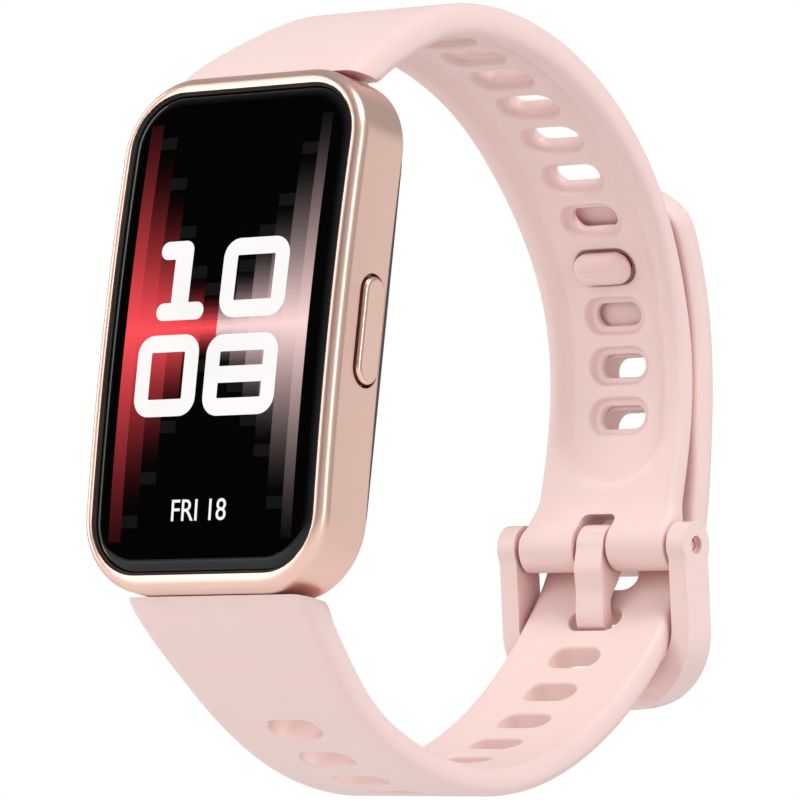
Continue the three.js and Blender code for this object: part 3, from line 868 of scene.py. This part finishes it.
def knob_window(side):
    window = block("knob window", (3.1, -1.2, -2.0), (6.1, 1.2, 2.0))
    soften(window, 0.5, 4, lambda e: abs(e.verts[0].co.z - e.verts[1].co.z) > 1)
    window.data.transform(Matrix.Translation((0, 0, -side * 2.0)))
    window.data.transform(Matrix.Rotation(side * math.radians(45), 4, "X"))
    window.data.transform(Matrix.Translation((0, -2.2, side * 22.95)))
    return window


def scoop_depth(distance, x, end):
    """Shallow channel in the skin side of the upper strap, with a round end."""
    half = SCOOP_HALF
    past = max(0.0, distance - (end - half))
    off = math.hypot(x, past)
    return SCOOP_DEPTH * smooth_step(half - off, 0.0, 1.15)


def upper_thickness(distance):
    return UPPER_ROOT_THICKNESS + (UPPER_THICKNESS - UPPER_ROOT_THICKNESS) * smooth_step(distance, 30, 58)


def make_upper_strap():
    first = STUD_AT - 7.5 * UPPER_PITCH
    last = STUD_AT + 3.5 * UPPER_PITCH
    scoop_end = last + 4.6
    pin = Vector((PIN_Y, PIN_Z))
    tail = UPPER.at(UPPER.length)
    along = UPPER.along(UPPER.length)
    pin_at = UPPER.length + (pin - tail).dot(along)
    pin_lift = (pin - tail).dot(Vector((along[1], -along[0])))
    barrel = BARREL_RADIUS

    def barrel_rise(s):
        inside = barrel ** 2 - (s - pin_at) ** 2
        return math.sqrt(inside) if inside > 0 else 0.0

    def top(s, x):
        lift = upper_thickness(s) / 2 - scoop_depth(s, x, scoop_end)
        gap = s - pin_at
        if gap > -barrel:
            round_top = pin_lift + barrel_rise(s)
            lift = round_top if gap > -1.0 else max(lift, round_top)
        if -4.6 < gap < -1.0:
            # hollow fillet that leads the skin side up to the barrel
            reach = pin_lift + math.sqrt(barrel ** 2 - 1.0)
            rise = ((gap + 4.6) / 3.6) ** 2.3
            lift = max(lift, upper_thickness(s) / 2 * (1 - rise) + reach * rise)
        return lift

    def bottom(s, x):
        gap = s - pin_at
        slab = -upper_thickness(s) / 2
        if gap > 0:
            return pin_lift - barrel_rise(s)
        if gap > -3.0:
            return slab + (pin_lift - barrel - slab) * smooth_step(gap, -3.0, 0.0)
        return slab

    def half_width(s):
        usual = strap_half_width(s, UPPER_WIDTH)
        return usual - 0.55 * smooth_step(s, 45, 62) * (1 - smooth_step(s, pin_at - 4.4, pin_at - 1.2))

    def edge(s):
        gap = s - pin_at
        if gap > -1.5:
            return 0.95 - 0.45 * smooth_step(gap, -1.5, 0)
        return 0.95

    strap = Strap("upper_strap_skin", UPPER, half_width, top, bottom, edge)
    stops = [last + (pin_at - 1.2 - last) * k / 22 for k in range(23)]
    round_stops = (-26, -16, -6, 4, 14, 25, 36, 47, 57, 66, 74, 81, 86, 89)
    stops += [pin_at + barrel * math.sin(math.radians(a)) for a in round_stops]
    slots = lay_rows(strap, STRAP_ROOT, first, 11, UPPER_PITCH, stops)
    strap.skin(slots)
    # half length, half width and height of each ring, from the skin side in
    ledge = -LEDGE_DEPTH
    inward = [(3.30, 1.85, 0.0), (3.22, 1.77, -0.015), (3.15, 1.70, -0.06), (3.10, 1.65, -0.14),
              (2.98, 1.53, ledge + 0.12), (2.93, 1.48, ledge + 0.04), (2.86, 1.41, ledge),
              (2.60, 1.22, ledge - 0.01), (2.48, 1.12, ledge - 0.03), (2.39, 1.05, ledge - 0.09),
              (2.33, 1.01, ledge - 0.18), (2.30, 0.99, ledge - 0.30)]
    outward = [(2.28, 0.98, 0.25), (2.31, 1.01, 0.12), (2.38, 1.08, 0.03), (2.48, 1.18, 0.0)]
    rings = [ring + ("top",) for ring in inward] + [ring + ("bottom",) for ring in outward]
    for row, centre in slots:
        strap.cut_slot(row, centre, UPPER_PITCH, rings)
    obj = strap.done()
    carve(obj, link_room(1), knob_window(1))
    gate = block("gate", (-GATE_HALF, 40, -14), (GATE_HALF, 55, PIN_Z + 2.75))
    soften(gate, 0.7, 5, lambda e: level(e, 2, PIN_Z + 2.75) and abs(e.verts[0].co.y - e.verts[1].co.y) > 1)
    carve(obj, gate)

    def beside_gate(v):
        return abs(v.co.x) < GATE_HALF + 0.03 and v.co.z < PIN_Z + 2.8 and v.co.y > 40

    soften(obj, 0.22, 3, lambda e: all(beside_gate(v) for v in e.verts) and sharp(e, 50))
    return settle(obj, BLUSH, "strap", "band", "upper_strap", angle=50)


def make_lower_strap():
    first = TONGUE_AT - 10.5 * LOWER_PITCH
    last = TONGUE_AT + 5.5 * LOWER_PITCH
    end = LOWER.length
    nose = 1.15

    def cap(s):
        """Share of the full thickness left near the tip."""
        gap = (s - (end - nose)) / nose
        return math.sqrt(max(0.0, 1 - gap * gap)) if gap > 0 else 1.0

    def half(s):
        return 1.2 + 0.2 * (1 - smooth_step(s, 7, 18))

    def top(s, x):
        return half(s) * cap(s)

    def bottom(s, x):
        # the tail lies down on the strap beneath it
        return -(half(s) + 0.24 * smooth_step(s, TONGUE_AT + 14, TONGUE_AT + 20)) * cap(s)

    def half_width(s):
        over = max(0.0, s - (end - 4.5)) / 4.5
        return strap_half_width(s, LOWER_WIDTH) * (1 - 0.5 * over ** 2.6)

    strap = Strap("lower_strap_skin", LOWER, half_width, top, bottom, lambda s: 0.95)
    spare = end - nose - last
    stops = [last + spare * k / 14 for k in range(15)]
    stops += [end - nose + nose * math.sin(math.radians(a)) for a in (18, 36, 52, 66, 77, 85, 88)]
    slots = lay_rows(strap, -STRAP_ROOT, first, 16, LOWER_PITCH, stops)
    strap.skin(slots)
    rings = round_rim(*LOWER_SLOT, "top", 1)
    rings += [(a, b, -lift, "bottom") for a, b, lift, _ in reversed(round_rim(*LOWER_SLOT, "bottom", 1))]
    for row, centre in slots:
        strap.cut_slot(row, centre, LOWER_PITCH, rings)
    obj = strap.done()
    carve(obj, link_room(-1), knob_window(-1))
    settle(obj, BLUSH, "strap", None, "lower_strap", "lower_strap_tail", angle=50)
    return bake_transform(obj)


def make_stud():
    y, z = UPPER.at(STUD_AT)
    ay, az = UPPER.along(STUD_AT)
    matrix = basis((1, 0, 0), (0, ay, az), (0, az, -ay), (0, y, z))
    head = cut_sheet("stud_head", rounded(5.7, 2.86, 1.42, 16), 1.3, Matrix())
    crest = max(v.co.z for v in head.data.vertices)
    soften(head, 0.9, 10, lambda e: level(e, 2, crest), clamp=False)
    for vertex in head.data.vertices:
        # low dome over a thin straight rim
        vertex.co.z = 1.4 - (crest - vertex.co.z) * 0.7
    neck = cut_sheet("neck", rounded(3.9, 1.4, 0.69, 10), 3.8, Matrix.Translation((0, 0, -3.1)))
    carve(head, neck, operation="UNION")
    head.data.transform(matrix)
    return settle(head, STUD, "stud", "tail", "tail_stud")


# ------------------------------------------------------------ buckle

DOWN = Vector((0, math.sin(LEAN), -math.cos(LEAN)))
OUTWARD = DOWN.cross(Vector((1, 0, 0)))


def arm_side():
    """Side view of the frame: round head about the pin, even limb, soft foot."""
    half, head, reach, foot = 1.7, 2.02, 14.1, 1.1
    start = math.acos(half / head)
    points = []
    for k in range(25):
        a = start - (math.pi + 2 * start) * k / 24
        points.append((head * math.cos(a), head * math.sin(a)))
    for k in range(7):
        a = math.pi - k / 6 * math.pi / 2
        points.append((-half + foot + foot * math.cos(a), reach - foot + foot * math.sin(a)))
    for k in range(7):
        a = math.pi / 2 - k / 6 * math.pi / 2
        points.append((half - foot + foot * math.cos(a), reach - foot + foot * math.sin(a)))
    return points[::-1]


def make_buckle_frame():
    pin = (0, PIN_Y, PIN_Z)
    limb = cut_sheet("buckle_loop", arm_side(), FRAME_WIDTH,
                     basis(OUTWARD, DOWN, OUTWARD.cross(DOWN), pin)
                     @ Matrix.Translation((0, 0, -FRAME_WIDTH / 2)))
    outer = cut_sheet("outer", rounded(FRAME_WIDTH, 28.2, 6.8, 20), 10,
                      basis((1, 0, 0), DOWN, Vector((1, 0, 0)).cross(DOWN), pin)
                      @ Matrix.Translation((0, 0, -5)))
    inner = cut_sheet("inner", rounded(16.0, 22.8, 4.6, 20), 12,
                      basis((1, 0, 0), DOWN, Vector((1, 0, 0)).cross(DOWN), pin)
                      @ Matrix.Translation((0, 0, -6)))
    carve(limb, outer, operation="INTERSECT")
    carve(limb, inner)
    soften(limb, 0.42, 4, lambda e: sharp(e, 40))
    carve(limb, rod("bore", 0.56, -20, 20, PIN_Y, PIN_Z, 32))
    carve(limb, rod("right sink", 0.8, 9.35, 12, PIN_Y, PIN_Z, 40))
    carve(limb, rod("left sink", 0.8, -12, -9.35, PIN_Y, PIN_Z, 40))
    return settle(limb, BUCKLE, "buckle", "frame", "buckle_frame")


def ease_corners(outline, reach, steps=4):
    """Rounds each corner of an outline with a short curve."""
    eased = []
    for before, corner, after in zip(outline[-1:] + outline[:-1], outline, outline[1:] + outline[:1]):
        here = Vector(corner)
        arrive = Vector(before) - here
        leave = Vector(after) - here
        start = here + arrive.normalized() * min(reach, 0.42 * arrive.length)
        stop = here + leave.normalized() * min(reach, 0.42 * leave.length)
        for k in range(steps + 1):
            t = k / steps
            eased.append(tuple(start * (1 - t) ** 2 + here * 2 * t * (1 - t) + stop * t * t))
    return eased


def make_tongue():
    guide = [(1.9, -95), (3.0, -42), (4.45, -17), (5.6, -12), (6.7, -8), (7.35, -4),
             (7.35, 4), (6.3, 6), (5.5, 1.5), (4.5, -0.5), (3.0, 16), (1.9, 60)]
    outline = []
    for r, degrees in guide:
        a = math.radians(degrees)
        outline.append((PIN_Y + r * math.sin(a), PIN_Z - r * math.cos(a)))
    limb = cut_sheet("tongue_limb", ease_corners(outline, 0.42), 2 * TONGUE_HALF,
                     facing_x(-TONGUE_HALF))
    carve(limb, rod("eye", 1.95, -TONGUE_HALF, TONGUE_HALF, PIN_Y, PIN_Z, 48), operation="UNION")
    carve(limb, rod("bore", 0.81, -20, 20, PIN_Y, PIN_Z, 40))
    soften(limb, 0.34, 4, lambda e: sharp(e, 50) and (level(e, 0, TONGUE_HALF) or level(e, 0, -TONGUE_HALF)))
    stitch(limb)
    return settle(limb, BUCKLE, "buckle", "tongue", "buckle_tongue", angle=40)


def make_pin():
    pin = rod("pin_bar", 0.75, -7.7, 7.7, PIN_Y, PIN_Z, 40)
    for side in (-1, 1):
        mesh = open_edit(pin, "FACE")
        for face in mesh.faces:
            face.select = face.normal.x * side > 0.9
        bmesh.update_edit_mesh(pin.data)
        bpy.ops.mesh.inset(thickness=0.25, depth=0)
        bpy.ops.mesh.extrude_region_move(TRANSFORM_OT_translate={"value": (side * 1.7, 0, 0)})
        close_edit()
    soften(pin, 0.22, 4, lambda e: (level(e, 0, 9.4) or level(e, 0, -9.4)) and sharp(e, 60))
    return settle(pin, PIN, "pin_metal", "band", "buckle_pin")


# ------------------------------------------------------------ inner pieces

def dress_inner_nodes():
    green = moulded_plastic("circuit board lacquer", (0.012, 0.07, 0.035, 1), (0.02, 0.10, 0.05, 1),
                            0.4, 0.5, 1500)
    foil = satin_metal("battery foil", (0.42, 0.43, 0.45, 1), (0.35, 0.36, 0.38, 1), 0.38, 1200, (1, 4, 1))
    steel = satin_metal("drawn steel", (0.6, 0.6, 0.61, 1), (0.52, 0.52, 0.54, 1), 0.3, 3000, (6, 1, 1))
    film = moulded_plastic("amber film", (0.42, 0.17, 0.04, 1), (0.36, 0.14, 0.03, 1), 0.35)
    black = moulded_plastic("black nylon", (0.02, 0.02, 0.022, 1), (0.03, 0.03, 0.032, 1), 0.5)
    panel = moulded_plastic("display black", (0.006, 0.006, 0.008, 1), (0.01, 0.01, 0.012, 1), 0.15, 0.6, 900)
    lens = moulded_plastic("clear resin", (0.62, 0.68, 0.52, 1), (0.56, 0.62, 0.46, 1), 0.15, 0.6)
    diode = moulded_plastic("dark resin", (0.01, 0.01, 0.016, 1), (0.016, 0.016, 0.024, 1), 0.12, 0.6)
    finishes = {
        "glass_gasket": RUBBER, "rear_seal": RUBBER, "button_seal": RUBBER,
        "display_panel": panel, "display_flex": film, "main_board": green,
        "sensor_board": green, "board_shield": steel, "battery": foil,
        "vibration_motor": steel, "switch_bracket": steel, "button_switch": black,
        "sensor_led": lens, "photodiode_upper": diode, "photodiode_lower": diode,
        "upper_end_link": LINK, "lower_end_link": LINK,
        "upper_end_latch": LINK, "lower_end_latch": LINK,
    }
    for node, finish in finishes.items():
        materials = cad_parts[node].data.materials
        materials.clear()
        materials.append(finish)


# ------------------------------------------------------------ studio

def soft_box(name, power, width, height, at, aim):
    data = bpy.data.lights.new(name, "AREA")
    data.shape = "RECTANGLE"
    data.size = width
    data.size_y = height
    data.energy = power
    lamp = bpy.data.objects.new(name, data)
    bpy.context.scene.collection.objects.link(lamp)
    lamp.location = at
    lamp.rotation_euler = (Vector(aim) - Vector(at)).to_track_quat("-Z", "Y").to_euler()
    return lamp


def make_floor():
    clear_bench()
    bpy.ops.mesh.primitive_plane_add(size=6, location=(0, 0, FLOOR_HEIGHT))
    floor = bpy.context.object
    floor.name = "studio_floor"
    f = Finish("pale floor", Specular_IOR_Level=0.2)
    f.colour(f.mix(f.spread(f.noise(3, 2), 0.0, 1.0), (0.86, 0.855, 0.85, 1), (0.83, 0.825, 0.82, 1)))
    f.rough(f.spread(f.noise(40, 2), 0.7, 0.8))
    floor.data.materials.append(f.material)


def gloss_flag(name, at, width, height, core, fringe):
    """Black flag with a soft fringe. Only gloss sees it, so it darkens a
    reflection and takes nothing from the light on the object."""
    clear_bench()
    at = Vector(at)
    bpy.ops.mesh.primitive_plane_add(size=2)
    flag = bpy.context.object
    flag.name = name
    turn = (-at).to_track_quat("Z", "Y").to_matrix().to_4x4()
    turn.translation = at
    flag.data.transform(turn @ Matrix.Diagonal((width / 2, height / 2, 1, 1)))
    f = Finish(name + " flock", Specular_IOR_Level=0.0)
    f.colour(f.mix(f.noise(50, 2), (0.001, 0.001, 0.001, 1), (0.002, 0.002, 0.002, 1)))
    off = f.add("ShaderNodeVectorMath", Vector=f.place)
    off.operation = "DISTANCE"
    off.inputs[1].default_value = at
    f.feed(f.shader.inputs["Alpha"], f.spread(off.outputs["Value"], 1.0, 0.0, core, fringe))
    flag.data.materials.append(f.material)
    flag.visible_camera = False
    flag.visible_diffuse = False
    flag.visible_shadow = False
    flag.visible_transmission = False


def make_studio(glass):
    world = bpy.data.worlds.new("white studio")
    bpy.context.scene.world = world
    world.use_nodes = True
    tree = world.node_tree
    background = tree.nodes["Background"]
    ray = tree.nodes.new("ShaderNodeLightPath")
    # gloss sees a dimmer room, so that the soft boxes stand out in it
    gloss = tree.nodes.new("ShaderNodeMapRange")
    gloss.inputs["To Min"].default_value = 0.5
    gloss.inputs["To Max"].default_value = 0.42
    ramp = tree.nodes.new("ShaderNodeMapRange")
    ramp.inputs["To Max"].default_value = 1.0
    tree.links.new(ray.outputs["Is Glossy Ray"], gloss.inputs["Value"])
    tree.links.new(gloss.outputs[0], ramp.inputs["To Min"])
    tree.links.new(ray.outputs["Is Camera Ray"], ramp.inputs["Value"])
    tree.links.new(ramp.outputs[0], background.inputs["Strength"])
    background.inputs["Color"].default_value = (1, 1, 1, 1)
    middle = (0.0, 0.02, 0.0)
    soft_box("key", 4.6, 0.32, 0.32, (0.50, -0.20, 0.80), middle)
    soft_box("right", 1.7, 0.16, 0.8, (0.85, -0.45, 0.10), middle)
    soft_box("left", 1.5, 0.25, 0.8, (-0.75, -0.10, 0.15), middle)
    front = soft_box("front", 1.0, 0.25, 0.6, (-0.30, -0.42, 0.10), middle)
    soft_box("side", 0.55, 0.5, 0.8, (0.50, 0.85, 0.05), middle)
    spared = bpy.data.collections.new("kept dark in the front box")
    spared.objects.link(glass)
    spared.collection_objects[0].light_linking.link_state = "EXCLUDE"
    front.light_linking.receiver_collection = spared
    gloss_flag("glass_flag", (-0.48, -0.62, 0.13), 2.4, 2.4, 0.34, 1.0)
    gloss_flag("end_flag", (-0.20, 0.22, -0.30), 0.9, 0.7, 0.12, 0.36)
    bpy.context.scene.view_settings.view_transform = "Standard"
    bpy.context.scene.view_settings.look = "None"


def make_camera():
    """Long lens from the front right, a little below, rolled slightly."""
    turn, rise, roll = (math.radians(a) for a in (37.4227, -10.68788, 5.62394))
    back = Vector((math.sin(turn) * math.cos(rise), -math.cos(turn) * math.cos(rise), math.sin(rise)))
    right = (-back).cross(Vector((0, 0, 1))).normalized()
    up = right.cross(-back)
    target = right * 0.0150925 - up * 0.00437994 - Vector((0, 0.00899, 0))
    across = math.cos(roll) * right + math.sin(roll) * up
    upright = -math.sin(roll) * right + math.cos(roll) * up
    data = bpy.data.cameras.new("camera")
    data.sensor_width = 36
    data.lens = 36 * 6081.54 / 800
    data.clip_start = 0.01
    data.clip_end = 20
    camera = bpy.data.objects.new("camera", data)
    bpy.context.scene.collection.objects.link(camera)
    camera.matrix_world = basis(across, upright, back, target + back * 0.48425)
    bpy.context.scene.camera = camera


make_case()
glass = make_glass()
make_gasket()
make_figures()
make_date()
make_button()
make_rear()
make_contacts()
make_upper_strap()
make_lower_strap()
make_stud()
make_buckle_frame()
make_tongue()
make_pin()
dress_inner_nodes()
make_floor()
make_studio(glass)
make_camera()
clear_bench()
